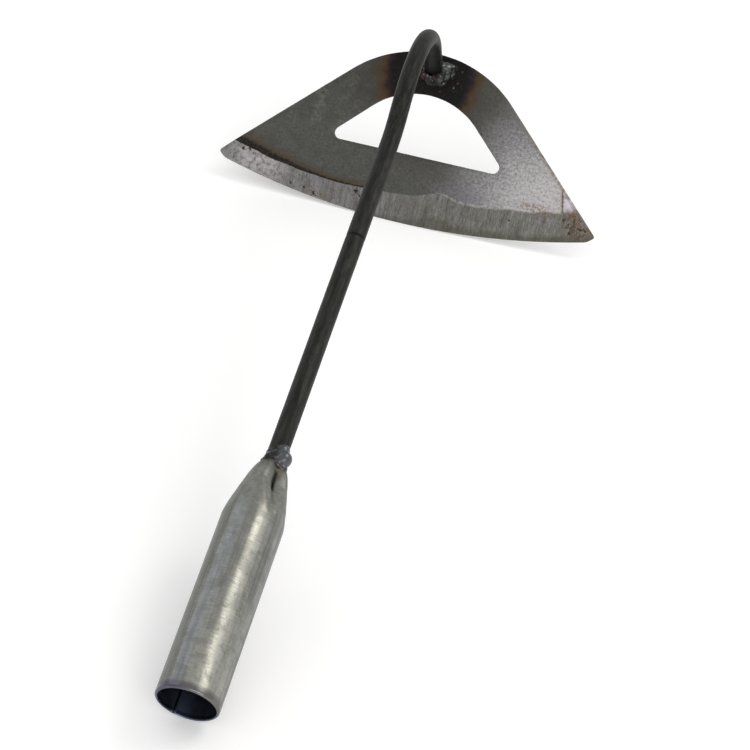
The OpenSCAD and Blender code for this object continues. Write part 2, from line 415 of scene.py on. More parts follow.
def socket_rings():
    """Rings of points from deep in the bore to the mouth and back along the outside, with their creases."""
    turns = [2 * math.pi * j / SOCKET_SIDES for j in range(SOCKET_SIDES)]
    rings, creases = [], []

    def ring(y, radius, s=0.0):
        rings.append([(radius(a) * math.sin(a), y, radius(a) * math.cos(a)) for a in turns])
        creases.extend(pinch_slit(a, s) for a in turns)

    def bore(a):
        off = (a - SEAM_ANGLE + math.pi) % (2 * math.pi) - math.pi
        return BORE_R - SEAM_HEIGHT * bell(off * BORE_R, SEAM_WIDTH)

    def outside(a):
        return SOCKET_R - 0.02 + 0.02 * lump(5 * math.sin(a), 5 * math.cos(a), y, 9.0)

    for y in (FUNNEL_END + 4, FUNNEL_END):
        ring(y, lambda a: GRIP_R)
    for y in np.linspace(SOCKET_LEN, 0.4, 40):
        ring(y, bore)
    ring(0.12, lambda a: BORE_R + 0.06)
    ring(0.0, lambda a: BORE_R + 0.2)
    for k in np.linspace(math.pi / 2, 0, 6):
        ring(LIP_R * (1 - math.sin(k)), lambda a: SOCKET_R - LIP_R + LIP_R * math.cos(k))
    for y in np.linspace(LIP_R + 0.6, SOCKET_LEN, 60):
        ring(y, outside)
    for s in np.linspace(0, 1, PINCH_RINGS + 1)[1:]:
        ring(SOCKET_LEN + s * PINCH_LEN, lambda a: pinch_radius(a, s), s)
    ring(PINCH_END, lambda a: GRIP_R)
    return rings, creases


def make_socket(material):
    rings, creases = socket_rings()
    points = [p for ring in rings for p in ring]
    faces = ring_faces(len(rings), SOCKET_SIDES, closed=True)
    mesh = mesh_from("socket_pinched_tube", points, faces, TOOL)
    point_values(mesh, "crease", creases)
    add_object("socket_pinched_tube", mesh, material, ["socket_tube"])


# ---------------------------------------------------------------- welds

# Lumps of weld at the bar's foot: x, towards the blade's top, above the face, radius.
FOOT_LUMPS = (
    (2.2, 2.4, 3.6, 3.5), (5.4, 2.6, 2.4, 3.5), (7.4, 3.2, 0.9, 2.9), (4.8, -0.6, 3.4, 3.6),
    (8.4, 0.6, 0.4, 2.4), (2.8, -2.8, 6.2, 3.3), (-0.4, -3.4, 6.0, 3.0), (-3.4, -2.2, 4.6, 2.8),
    (-3.8, 1.5, 2.8, 2.4), (9.2, 4.0, 0.2, 1.7), (4.6, -3.2, 2.6, 2.8), (-4.4, -1.8, 1.4, 2.4),
    (1.0, -3.8, 2.8, 3.0))

# The ring of weld at the socket: distance past the pinch, distance from the axis, radius.
COLLAR_RINGS = ((0.2, 3.7, 1.75), (2.4, 3.25, 1.65), (4.6, 3.0, 1.5), (6.6, 2.9, 1.3))
# The lumps on it: degrees from the top towards +X, then as above.
COLLAR_LUMPS = (
    (56, 2.2, 4.2, 3.5), (44, 6.0, 3.0, 2.9), (30, -1.4, 4.4, 2.0), (66, -1.8, 4.4, 2.3),
    (15, 3.4, 3.9, 2.0), (-30, 1.0, 4.3, 1.7))

# Drops of spatter on the blade, from the bar's foot: x, towards the blade's top, radius.
DROPS = ((12, -2.5, 0.9), (10.6, -5, 0.72), (13, 3, 0.63), (4.6, -8, 0.54), (-9.6, -2, 0.54))


def melt(name, blobs, axes, voxel, passes, rough, grain, material, replaces):
    """Fuses round blobs into one lump of metal: joined, remeshed, smoothed, then roughened."""
    work = bmesh.new()
    for x, y, z, r, squash in blobs:
        place = Matrix.Translation((x, y, z)) @ Matrix.Diagonal((1, 1, squash, 1))
        bmesh.ops.create_icosphere(work, subdivisions=4, radius=r, matrix=place)
    rough_mesh = bpy.data.meshes.new(name + "_blobs")
    work.to_mesh(rough_mesh)
    work.free()
    source = bpy.data.objects.new(name + "_blobs", rough_mesh)
    bpy.context.scene.collection.objects.link(source)
    remesh = source.modifiers.new("Remesh", "REMESH")
    remesh.mode, remesh.voxel_size = "VOXEL", voxel
    smooth = source.modifiers.new("Smooth", "SMOOTH")
    smooth.factor, smooth.iterations = 0.5, passes
    graph = bpy.context.evaluated_depsgraph_get()
    mesh = bpy.data.meshes.new_from_object(source.evaluated_get(graph))
    bpy.data.objects.remove(source)
    normals = [v.normal.copy() for v in mesh.vertices]
    for v, n in zip(mesh.vertices, normals):
        p = v.co
        v.co = p + n * (rough * lump(*p, grain) + 0.4 * rough * lump(*p, grain / 2.7))
    mesh.transform(axes)
    mesh.name = name
    add_object(name, mesh, material, replaces)


def foot_blobs():
    """Beads laid round the bar's foot, with the heavier lumps on the +X side."""
    blobs = []
    beads = 13
    for i in range(beads):
        a = 2 * math.pi * i / beads
        size = 2.1 + 0.5 * math.cos(a - 0.3) + 0.25 * math.sin(5 * a)
        out = ROD_R + 0.4 + 0.5 * math.cos(a) + 0.5 * math.sin(a)
        blobs.append((out * math.cos(a), out * math.sin(a), 0.1, size, 0.95))
    return blobs + [(*lump_place, 0.9) for lump_place in FOOT_LUMPS]


def collar_blobs():
    """Weld between the pinched end and the bar, and the ball of metal beside it."""
    blobs = []
    beads = 14
    for i in range(beads):
        a = 2 * math.pi * i / beads
        for d, out, size in COLLAR_RINGS:
            out += 0.12 * math.sin(3 * a + d)
            blobs.append((math.sin(a) * out, d, math.cos(a) * out, size, 1.0))
    for degrees, d, out, size in COLLAR_LUMPS:
        a = math.radians(degrees)
        blobs.append((out * math.sin(a), d, out * math.cos(a), size, 1.0))
    return blobs


def make_welds(material):
    foot_axes = PLATE @ Matrix.Translation((0, BLADE_H - FOOT_INSET, 0))
    collar_axes = TOOL @ Matrix.Translation((0, PINCH_END, 0))
    drops = [(x, y, 0.0, r, 0.8) for x, y, r in DROPS]
    melt("weld_at_blade", foot_blobs(), foot_axes, 0.25, 24, 0.18, 1.6, material, ["foot_weld"])
    melt("weld_at_socket", collar_blobs(), collar_axes, 0.24, 24, 0.05, 2.4, material,
         ["collar_weld", "weld_ball"])
    melt("weld_spatter_drops", drops, foot_axes, 0.14, 3, 0.06, 0.6, material, ["weld_spatter"])


# ---------------------------------------------------------------- materials

class Shader:
    """A material's node tree, with short calls for the nodes that the finishes use."""

    def __init__(self, name):
        self.material = bpy.data.materials.new(name)
        self.material.use_nodes = True
        self.tree = self.material.node_tree
        self.surface = self.tree.nodes["Principled BSDF"]

    def node(self, kind, inputs, **settings):
        n = self.tree.nodes.new("ShaderNode" + kind)
        for key, value in settings.items():
            setattr(n, key, value)
        for key, value in inputs.items():
            self.put(n.inputs[key], value)
        return n

    def put(self, socket, value):
        if isinstance(value, bpy.types.NodeSocket):
            self.tree.links.new(value, socket)
        elif isinstance(value, tuple) and len(value) == 3 and socket.type == "RGBA":
            socket.default_value = (*value, 1.0)
        else:
            socket.default_value = value

    def calc(self, operation, a, b=0.0, clamp=False):
        return self.node("Math", {0: a, 1: b}, operation=operation, use_clamp=clamp).outputs[0]

    def plus(self, a, b, clamp=False):
        return self.calc("ADD", a, b, clamp)

    def minus(self, a, b):
        return self.calc("SUBTRACT", a, b)

    def times(self, product, *others):
        for value in others:
            product = self.calc("MULTIPLY", product, value)
        return product

    def apart(self, a, b):
        """How far a is from b."""
        return self.calc("ABSOLUTE", self.minus(a, b))

    def sway(self, noise_value, swing):
        """Noise as a number about 0, which makes what it is added to uneven."""
        return self.times(self.minus(noise_value, 0.5), swing)

    def distance(self, a, b, a0=0.0, b0=0.0, squash=1.0):
        """Distance of (a, b) from (a0, b0), with the second part squashed."""
        da = self.minus(a, a0)
        db = self.times(self.minus(b, b0), squash)
        return self.calc("SQRT", self.plus(self.times(da, da), self.times(db, db)))

    def attribute(self, title):
        return self.node("Attribute", {}, attribute_name=title).outputs["Fac"]

    def local(self, axes):
        """Coordinates in the given axes, in millimetres."""
        place, turn, size = axes.inverted().decompose()
        coords = self.node("TexCoord", {}).outputs["Object"]
        mapping = {"Vector": coords, "Location": place, "Rotation": turn.to_euler(), "Scale": size}
        return self.node("Mapping", mapping).outputs[0]

    def stretch(self, vector, scale):
        return self.node("VectorMath", {0: vector, 1: scale}, operation="MULTIPLY").outputs[0]

    def split(self, vector):
        return self.node("SeparateXYZ", {0: vector}).outputs

    def noise(self, vector, scale, detail=4.0, rough=0.55, distortion=0.0):
        inputs = {"Vector": vector, "Scale": scale, "Detail": detail, "Roughness": rough,
                  "Distortion": distortion}
        return self.node("TexNoise", inputs).outputs["Fac"]

    def cells(self, vector, scale):
        return self.node("TexVoronoi", {"Vector": vector, "Scale": scale}).outputs["Distance"]

    def span(self, value, low, high):
        """0 below low, 1 above high, smooth between them; low may be the larger."""
        inputs = {"Value": value, "From Min": low, "From Max": high}
        return self.node("MapRange", inputs, interpolation_type="SMOOTHSTEP").outputs["Result"]

    def patch(self, parts, x, y, radius_x, radius_y):
        """1 at a place in the x, y plane, fading to 0 at an ellipse round it."""
        dx = self.calc("DIVIDE", self.minus(parts[0], x), radius_x)
        dy = self.calc("DIVIDE", self.minus(parts[1], y), radius_y)
        return self.span(self.distance(dx, dy), 1.0, 0.0)

    def mix(self, share, a, b):
        return self.node("Mix", {0: share, 6: a, 7: b}, data_type="RGBA").outputs[2]

    def bump(self, height, strength, distance, under=None):
        inputs = {"Height": height, "Strength": strength, "Distance": distance}
        if under is not None:
            inputs["Normal"] = under
        return self.node("Bump", inputs).outputs[0]

    def finish(self, **inputs):
        for key, value in inputs.items():
            self.put(self.surface.inputs[key.replace("_", " ")], value)
        return self.material


def linear(level):
    """The linear value of an sRGB level from 0 to 255."""
    v = level / 255
    return v / 12.92 if v <= 0.04045 else ((v + 0.055) / 1.055) ** 2.4


def rgb(red, green, blue):
    return (linear(red), linear(green), linear(blue))


# Places on the plate, as x, h: the middle of its painted highlight and of the heat tint.
PAINTED_HIGHLIGHT_PLACE = (66.0, 9.0)
HEATED_PLACE = (-1.8, 58.0)

# Heat tints: the distances from the middle where each begins and is full, its share and its colour.
HEAT_TINTS = (
    (42.0, 28.0, 0.42, (64, 60, 54)), (28.5, 22.0, 0.80, (76, 58, 38)), (23.2, 20.4, 0.85, (56, 40, 27)),
    (21.4, 19.4, 0.85, (38, 31, 42)), (20.0, 17.4, 1.00, (26, 25, 24)))

# Pits in the plate: x, h, radius.
PITS = (
    (-81, 5.2, 1.3), (-77.5, 5.4, 1.0), (-42.8, -8.3, 1.2), (-22.8, -2.4, 1.4), (-20.5, -4.6, 0.9),
    (-48, -6.5, 1.0), (-55, -6, 0.9), (85.5, 3.2, 1.5), (81, 0.4, 0.9), (88, 3.2, 1.0),
    (77, 6.2, 1.0), (79.5, 4.0, 0.8), (52, 0.0, 0.8))
# Where smaller pits are thick: x, h, reach across, reach upwards.
PITTED = ((-82, 5.5, 6, 4), (-24, -4.5, 4, 4), (-43, -10, 5, 3), (82, 3, 12, 8), (60, 4, 10, 6))
# Rust on the plate: as above, and the noise level above which it shows.
RUST = (
    (-46, -7, 6, 5, 0.47), (-39, -9.5, 7, 4, 0.49), (62, 7.5, 15, 3.5, 0.45), (73, 13, 5, 9, 0.50),
    (84, 3.5, 12, 9, 0.46), (80, 8.5, 9, 4, 0.44), (72, 24, 14, 4, 0.52), (45, 3.5, 16, 2.5, 0.54),
    (-70, 1, 16, 4, 0.58))


def plate_colour(s, at):
    """Rolled plate: dull grey, with a painted highlight, lighter and speckled, round a place above the right
    tip.
    """
    # Painted highlight: the plate is painted lighter, and speckled brighter, round a place above the right
    # tip.
    from_plate_highlight = s.plus(s.distance(at.x, at.h, *PAINTED_HIGHLIGHT_PLACE), s.sway(s.noise(at.p, 0.06, 4.0, 0.6), 12.0))
    plate = s.mix(s.span(from_plate_highlight, 58.0, 26.0), rgb(88, 88, 84), rgb(136, 135, 138))
    plate = s.mix(s.span(from_plate_highlight, 36.0, 6.0), plate, rgb(180, 177, 178))
    speckled = s.times(s.span(at.fine, 0.50, 0.60), s.span(from_plate_highlight, 54.0, 10.0), 0.7)
    plate = s.mix(speckled, plate, rgb(208, 204, 202))
    plate = s.mix(s.times(s.span(at.fine, 0.52, 0.64), 0.22), plate, rgb(136, 135, 130))
    plate = s.mix(s.times(s.span(at.fine, 0.49, 0.40), 0.42), plate, rgb(58, 57, 56))
    # Flakes of lighter mill scale on the left arm, and darker mottling that fades to the right.
    flakes = s.span(s.noise(at.p, 0.17, 8.0, 0.74, 0.4), 0.51, 0.59)
    flakes = s.times(flakes, s.patch(at.xh, -44, 42, 40, 34), s.span(at.fine, 0.36, 0.56))
    plate = s.mix(s.times(flakes, 0.55), plate, rgb(128, 128, 120))
    mottled = s.times(s.span(s.noise(at.p, 0.15, 6.0, 0.72), 0.44, 0.60), s.span(at.x, 70.0, -10.0))
    plate = s.mix(s.times(mottled, 0.28), plate, rgb(64, 64, 61))
    dim = s.times(s.span(at.h, 18.0, 52.0), s.span(at.x, 10.0, -20.0))
    return s.mix(s.times(dim, 0.35), plate, rgb(62, 62, 58))


def heat_tinted(s, at, plate):
    """Heat tint round the weld: black, then a violet edge, then bronze fading into the plate."""
    heat = s.distance(at.x, at.h, *HEATED_PLACE, squash=0.8)
    heat = s.plus(heat, s.sway(s.noise(at.p, 0.14, 5.0, 0.65), 9.0))
    for begins, full, share, tint in HEAT_TINTS:
        plate = s.mix(s.times(s.span(heat, begins, full), share), plate, rgb(*tint))
    scaly = s.times(s.span(s.noise(at.p, 0.6, 6.0, 0.72), 0.52, 0.70), s.span(heat, 23.0, 14.0))
    plate = s.mix(s.times(scaly, 0.6), plate, rgb(62, 59, 60))
    singed = s.times(s.span(s.noise(at.p, 0.35, 4.0, 0.6), 0.58, 0.70), s.span(heat, 22.0, 12.0))
    plate = s.mix(s.times(singed, 0.5), plate, rgb(52, 34, 24))
    # A violet bloom above the bevel right of the bar.
    bloom = s.times(s.patch(at.xh, 24, 6, 24, 6), s.span(at.fine, 0.36, 0.56), at.upper)
    return s.mix(s.times(bloom, 0.5), plate, rgb(120, 116, 126))


def burnt(s, at, plate):
    """The burn above the bevel at the left: a black line with brown haze over it."""
    left_tip = s.span(at.x, -34.0, -80.0)
    lift = s.plus(at.above, at.wander)
    haze_top = s.plus(4.5, s.times(left_tip, 5.5))
    haze = s.times(s.span(s.calc("DIVIDE", lift, haze_top), 1.0, 0.1), s.span(at.x, -6.0, -34.0))
    plate = s.mix(s.times(haze, 0.75), plate, rgb(76, 60, 38))
    line_top = s.plus(0.7, s.times(left_tip, 2.2))
    burn = s.times(s.span(s.calc("DIVIDE", lift, line_top), 1.45, 0.8), s.span(at.x, -8.0, -26.0))
    soot = s.mix(s.span(at.fine, 0.46, 0.60), rgb(28, 26, 26), rgb(58, 54, 50))
    return s.mix(s.times(burn, at.upper, 0.95), plate, soot)


def bevel_colour(s, at):
    """Ground steel, violet at the left and brown at the right, with a painted highlight near the left tip and
    painted shade of the bar beside it, and the scores that cross its edge.
    """
    across = s.stretch(at.p, (1.0, 0.10, 0.0))
    scores = s.noise(across, 0.7, 6.0, 0.75)
    fine_scores = s.noise(across, 2.2, 4.0, 0.7)
    wide_scores = s.noise(across, 0.22, 4.0, 0.65)
    ground = s.mix(s.span(at.x, -30.0, 40.0), rgb(128, 127, 126), rgb(108, 108, 103))
    ground = s.mix(s.times(s.span(wide_scores, 0.52, 0.40), 0.45), ground, rgb(86, 84, 78))
    ground = s.mix(s.times(s.span(wide_scores, 0.54, 0.64), 0.35), ground, rgb(150, 148, 146))
    ground = s.mix(s.times(s.span(scores, 0.50, 0.38), 0.55), ground, rgb(78, 77, 72))
    ground = s.mix(s.times(s.span(fine_scores, 0.52, 0.64), 0.45), ground, rgb(164, 162, 158))
    violet = s.times(s.span(s.noise(at.p, 0.10, 3.0), 0.42, 0.62), s.patch(at.xh, -52, -4, 46, 12))
    ground = s.mix(s.times(violet, 0.45), ground, rgb(140, 127, 140))
    # Painted highlight: bright patches on the bevel near the left tip.
    painted_tip_highlight = s.times(s.patch(at.xh, -74, 0, 24, 16), s.span(s.noise(at.p, 0.5, 3.0), 0.30, 0.62))
    ground = s.mix(s.times(painted_tip_highlight, 0.85), ground, rgb(196, 190, 192))
    grime = s.noise(s.stretch(at.p, (1.0, 0.22, 0.0)), 0.28, 5.0, 0.68)
    grimy = s.times(s.span(grime, 0.49, 0.64), s.span(at.x, -14.0, 24.0))
    ground = s.mix(s.times(grimy, 0.5), ground, rgb(84, 76, 61))
    # Painted shade of the bar: the bevel just right of it is darker.
    ground = s.mix(s.times(s.patch(at.xh, 5, -6, 17, 16), 0.38), ground, rgb(80, 78, 70))
    ground = s.mix(s.times(s.span(at.fine, 0.49, 0.40), 0.45), ground, rgb(70, 68, 62))
    near_edge = s.times(s.span(s.plus(at.above, at.wander), -9.8, -13.0), 0.5)
    return s.mix(near_edge, ground, rgb(76, 73, 62)), s.plus(scores, fine_scores)


def right_tip_marks(s, at, colour):
    """Dirt on the right tip, a scratch down the arm, a painted highlight beside it and a line along the side.
    """
    dirt = s.span(s.noise(at.p, 0.32, 5.0, 0.75, 1.2), 0.52, 0.45)
    colour = s.mix(s.times(s.patch(at.xh, 84, 2.5, 15, 10), dirt, 0.85), colour, rgb(64, 52, 36))
    scratch_x = s.plus(s.times(at.h, -0.22), s.plus(75.7, s.times(at.crumbs, 1.2)))
    scratch = s.span(s.apart(at.x, scratch_x), 0.7, 0.2)
    scratch = s.times(scratch, s.span(at.h, 6.0, 9.0), s.span(at.h, 20.0, 16.5))
    colour = s.mix(s.times(scratch, at.upper, 0.7), colour, rgb(84, 64, 44))
    # Painted highlight: a bright violet-white patch just right of the scratch.
    painted_facet_highlight = s.times(s.patch(at.xh, 76.6, 13.2, 4.6, 5.2), s.span(s.minus(at.x, scratch_x), 0.3, 0.9))
    colour = s.mix(s.times(painted_facet_highlight, at.upper, 0.85), colour, rgb(210, 202, 218))
    violet_spot = s.times(s.patch(at.xh, 68, 3.0, 8, 4.5), s.span(at.crumbs, 0.44, 0.56))
    colour = s.mix(s.times(violet_spot, at.upper, 0.5), colour, rgb(142, 132, 152))
    along_normal = s.plus(s.times(at.x, math.sin(SIDE_ANGLE)), s.times(at.h, math.cos(SIDE_ANGLE)))
    from_side = s.minus(CROWN_R + CROWN_H * math.cos(SIDE_ANGLE), along_normal)
    side_line = s.times(s.span(from_side, 2.2, 0.6), s.span(at.x, 36.0, 56.0), s.span(at.crumbs, 0.40, 0.52))
    return s.mix(s.times(side_line, at.upper, 0.65), colour, rgb(112, 94, 72))


def rust_share(s, at):
    """Specks of rust that noise breaks up, thickest at the right tip."""
    rust = 0.0
    for x, h, across, upwards, low in RUST:
        spot = s.times(s.patch(at.xh, x, h, across, upwards), s.span(at.crumbs, low, low + 0.12))
        rust = s.calc("MAXIMUM", rust, spot)
    return rust


def pit_share(s, at):
    """Small dark holes, thick at both tips and beside the bar, and the larger ones of uneven outline."""
    zone = 0.10
    for x, h, across, upwards in PITTED:
        zone = s.calc("MAXIMUM", zone, s.patch(at.xh, x, h, across, upwards))
    pits = s.span(s.cells(at.p, 0.55), 0.30, 0.16)
    pits = s.times(pits, s.span(s.noise(at.p, 0.7, 3.0), 0.62, 0.5), zone)
    swirl = s.node("TexNoise", {"Vector": at.p, "Scale": 0.6}).outputs["Color"]
    warped = s.node("VectorMath", {0: at.p, 1: s.stretch(swirl, (2.4, 2.4, 0.0))}, operation="ADD")
    warped = s.split(warped.outputs[0])
    for x, h, r in PITS:
        pits = s.calc("MAXIMUM", pits, s.span(s.patch(warped, x, h, r, r), 0.1, 0.5))
    return pits


def blade_finish():
    s = Shader("blade_steel")
    p = s.local(PLATE)
    x, h, _ = s.split(p)
    # What the parts of the finish share: places on the plate, marks on its mesh, and noises.
    at = SimpleNamespace(
        p=p, x=x, h=h, xh=(x, h), above=s.attribute("above_bevel"), upper=s.attribute("upper_face"),
        fine=s.noise(p, 0.75, 6.0, 0.8), crumbs=s.noise(p, 0.55, 6.0, 0.75),
        wander=s.sway(s.noise(p, 0.45, 5.0, 0.7), 2.6))
    plate = burnt(s, at, heat_tinted(s, at, plate_colour(s, at)))
    ground, scored = bevel_colour(s, at)
    on_bevel = s.times(s.span(at.above, 0.2, -0.2), at.upper)
    colour = s.mix(on_bevel, plate, ground)
    brim = s.times(s.span(s.apart(at.above, 0.0), 0.9, 0.2), s.span(x, 4.0, 24.0), s.span(at.fine, 0.40, 0.55))
    colour = s.mix(s.times(brim, at.upper, 0.55), colour, rgb(172, 170, 166))
    rust = rust_share(s, at)
    colour = s.mix(s.times(rust, 0.62), colour, rgb(132, 98, 66))
    colour = right_tip_marks(s, at, colour)
    pits = pit_share(s, at)
    pit_colour = s.mix(s.span(x, 40.0, 70.0), rgb(34, 32, 28), rgb(54, 45, 32))
    colour = s.mix(s.times(pits, 0.9), colour, pit_colour)

    rough = s.minus(0.52, s.times(on_bevel, 0.12))
    rough = s.plus(rough, s.sway(at.fine, 0.25))
    rough = s.plus(rough, s.times(rust, 0.3), clamp=True)
    grain = s.bump(s.minus(at.fine, s.times(pits, 1.5)), 0.35, 0.00015)
    normal = s.bump(s.times(scored, on_bevel), 0.5, 0.00010, grain)
    return s.finish(Base_Color=colour, Metallic=0.85, Roughness=rough, Normal=normal)


def bar_finish():
    """Black mill scale, streaked along the bar, with the scored ring, and soot and painted shade near the
    weld.
    """
    s = Shader("black_bar")
    p = s.local(TOOL)
    streaks = s.noise(s.stretch(p, (1.0, 0.12, 1.0)), 0.5, 6.0, 0.7)
    scale = s.noise(s.stretch(p, (1.0, 0.3, 1.0)), 0.35, 6.0, 0.7)
    fine = s.noise(s.stretch(p, (1.0, 0.5, 1.0)), 1.2, 5.0, 0.75)
    colour = s.mix(s.span(streaks, 0.38, 0.68), rgb(29, 29, 28), rgb(53, 53, 49))
    colour = s.mix(s.times(s.span(scale, 0.50, 0.36), 0.65), colour, rgb(24, 24, 24))
    colour = s.mix(s.times(s.span(fine, 0.58, 0.72), 0.45), colour, rgb(96, 95, 88))
    y = s.split(p)[1]
    colour = s.mix(s.span(s.apart(y, MARK_Y), 1.0, 0.3), colour, rgb(9, 9, 9))
    # Soot and painted shade: the bar is darkened towards its foot at the blade.
    sooty_and_shaded = s.span(y, *SOOT_AND_SHADE)
    colour = s.mix(s.times(sooty_and_shaded, 0.75), colour, rgb(17, 17, 17))
    rough = s.plus(0.42, s.times(scale, 0.25))
    normal = s.bump(s.plus(scale, s.times(fine, 0.3)), 0.35, 0.00025)
    return s.finish(Base_Color=colour, Metallic=0.75, Roughness=rough, Normal=normal)


def tube_finish():
    """Bright drawn tube: bands along it with painted highlights, a painted reflection and a side in painted
    shade, fine brush marks round it, dull on the pinch, dark inside
    """
    s = Shader("bright_tube")
    p = s.local(TOOL)
    x, y, z = s.split(p)
    angle = s.calc("ARCTAN2", x, z)
    around = s.node("CombineXYZ", {0: s.times(angle, 12.0), 1: y, 2: 0.0}).outputs[0]
    bands = s.noise(s.stretch(around, (1.0, 0.018, 0.0)), 0.36, 6.0, 0.72)
    brushed = s.noise(s.stretch(around, (0.08, 1.0, 0.0)), 2.2, 5.0, 0.7)
    blotch = s.noise(p, 0.16, 5.0, 0.6)
    pinch = s.span(y, SOCKET_LEN - 4.0, SOCKET_LEN + 10.0)

    colour = s.mix(s.span(bands, 0.38, 0.62), rgb(101, 102, 98), rgb(148, 149, 147))
    # Painted reflection: a faint blue-grey band along the left of the tube.
    bluish_reflection = s.span(s.apart(angle, -0.30), 0.34, 0.10)
    colour = s.mix(s.times(bluish_reflection, 0.5), colour, rgb(106, 110, 120))
    # A pale painted highlight runs along the tube, and turns aside a little towards the mouth.
    highlight_angle = s.plus(0.30, s.times(s.span(y, 20.0, 2.0), 0.18))
    from_highlight = s.apart(s.plus(angle, s.sway(bands, 0.25)), highlight_angle)
    colour = s.mix(s.times(s.span(from_highlight, 0.85, 0.10), 0.5), colour, rgb(164, 163, 156))
    # Painted highlight: the tube is lighter towards the mouth, right of the top.
    highlight_near_mouth = s.times(s.span(y, 62.0, 8.0), s.span(s.apart(angle, 0.55), 0.95, 0.5))
    colour = s.mix(s.times(highlight_near_mouth, 0.5), colour, rgb(178, 177, 168))
    # Painted highlight: a narrow bright streak in the middle of the band, dulled on the pinch.
    painted_highlight = s.times(s.span(from_highlight, 0.18, 0.02), s.span(brushed, 0.24, 0.56))
    painted_highlight = s.times(painted_highlight, s.minus(1.0, s.times(pinch, 0.9)))
    colour = s.mix(s.times(painted_highlight, 0.74), colour, rgb(222, 219, 203))
    # Painted shade: the left side of the tube is darker.
    colour = s.mix(s.times(s.span(angle, -0.55, -1.0), 0.75), colour, rgb(98, 100, 91))
    colour = s.mix(s.times(s.span(brushed, 0.50, 0.38), 0.24), colour, rgb(88, 89, 84))
    colour = s.mix(s.times(s.span(brushed, 0.54, 0.64), 0.20), colour, rgb(192, 190, 182))
    colour = s.mix(s.times(s.span(blotch, 0.47, 0.60), 0.40), colour, rgb(108, 110, 103))
    stained = s.noise(s.stretch(around, (1.0, 0.3, 0.0)), 0.5, 6.0, 0.75)
    colour = s.mix(s.times(s.span(stained, 0.52, 0.64), 0.40), colour, rgb(98, 100, 93))

    dull = s.mix(s.span(s.noise(p, 0.35, 6.0, 0.75), 0.34, 0.66), rgb(114, 115, 108), rgb(142, 143, 137))
    colour = s.mix(s.times(pinch, 0.8), colour, dull)
    # Painted shade: the slit and crease in the pinch are darkened nearly to black.
    colour = s.mix(s.times(s.span(s.attribute("crease"), 0.1, 1.3), 0.9), colour, rgb(22, 20, 18))
    # Painted shade: the rounded rim at the mouth is darker and violet-grey.
    lip_shade = s.span(s.plus(y, s.times(blotch, 1.2)), 4.6, 2.4)
    lip_shade_colour = s.mix(s.span(angle, -0.9, 0.9), rgb(84, 80, 96), rgb(98, 97, 97))
    colour = s.mix(s.times(lip_shade, 0.8), colour, lip_shade_colour)
    scorched = s.span(s.plus(y, s.times(blotch, 8.0)), PINCH_END - 3.0, PINCH_END + 5.0)
    colour = s.mix(s.times(scorched, 0.7), colour, rgb(70, 62, 50))
    browned = s.patch((x, y), 3.6, PINCH_END - 5.5, 4.0, 8.0)
    colour = s.mix(s.times(browned, 0.6), colour, rgb(86, 80, 62))
    freckles = s.times(s.span(s.cells(p, 0.35), 0.12, 0.05), s.span(blotch, 0.48, 0.56))
    colour = s.mix(s.times(freckles, 0.7), colour, rgb(52, 52, 50))

    # Inside the bore, and on the lower half of its rim, the steel is coloured dark blue-grey, with a lighter
    # blue painted reflection beside the seam and a dark line along it.
    rim_r = s.plus(BORE_R + 0.15, s.times(s.span(z, 1.0, -5.0), 0.8))
    within = s.span(s.minus(s.distance(x, z), rim_r), 0.2, 0.0)
    inside = s.times(within, s.span(y, SOCKET_LEN + 5.0, SOCKET_LEN))
    dark_bore = s.mix(s.span(s.noise(around, 0.12, 2.0), 0.35, 0.70), rgb(74, 78, 92), rgb(92, 99, 120))
    seam_x = BORE_R * math.sin(SEAM_ANGLE)
    # Painted reflection: a lighter blue strip on the inner wall beside the seam.
    painted_sheen = s.times(s.span(x, seam_x, seam_x + 0.8), s.span(x, 2.0, -2.5))
    dark_bore = s.mix(s.times(painted_sheen, 0.6), dark_bore, rgb(116, 132, 160))
    dark_bore = s.mix(s.span(s.apart(x, seam_x), 0.5, 0.15), dark_bore, rgb(20, 22, 28))
    colour = s.mix(inside, colour, dark_bore)

    rough = s.plus(0.30, s.times(blotch, 0.18))
    rough = s.plus(rough, s.times(pinch, 0.14))
    rough = s.minus(rough, s.times(s.span(y, 2.6, 1.2), 0.16))
    normal = s.bump(s.plus(brushed, s.times(blotch, 0.6)), 0.25, 0.00010)
    return s.finish(Base_Color=colour, Metallic=0.95, Roughness=rough, Normal=normal)


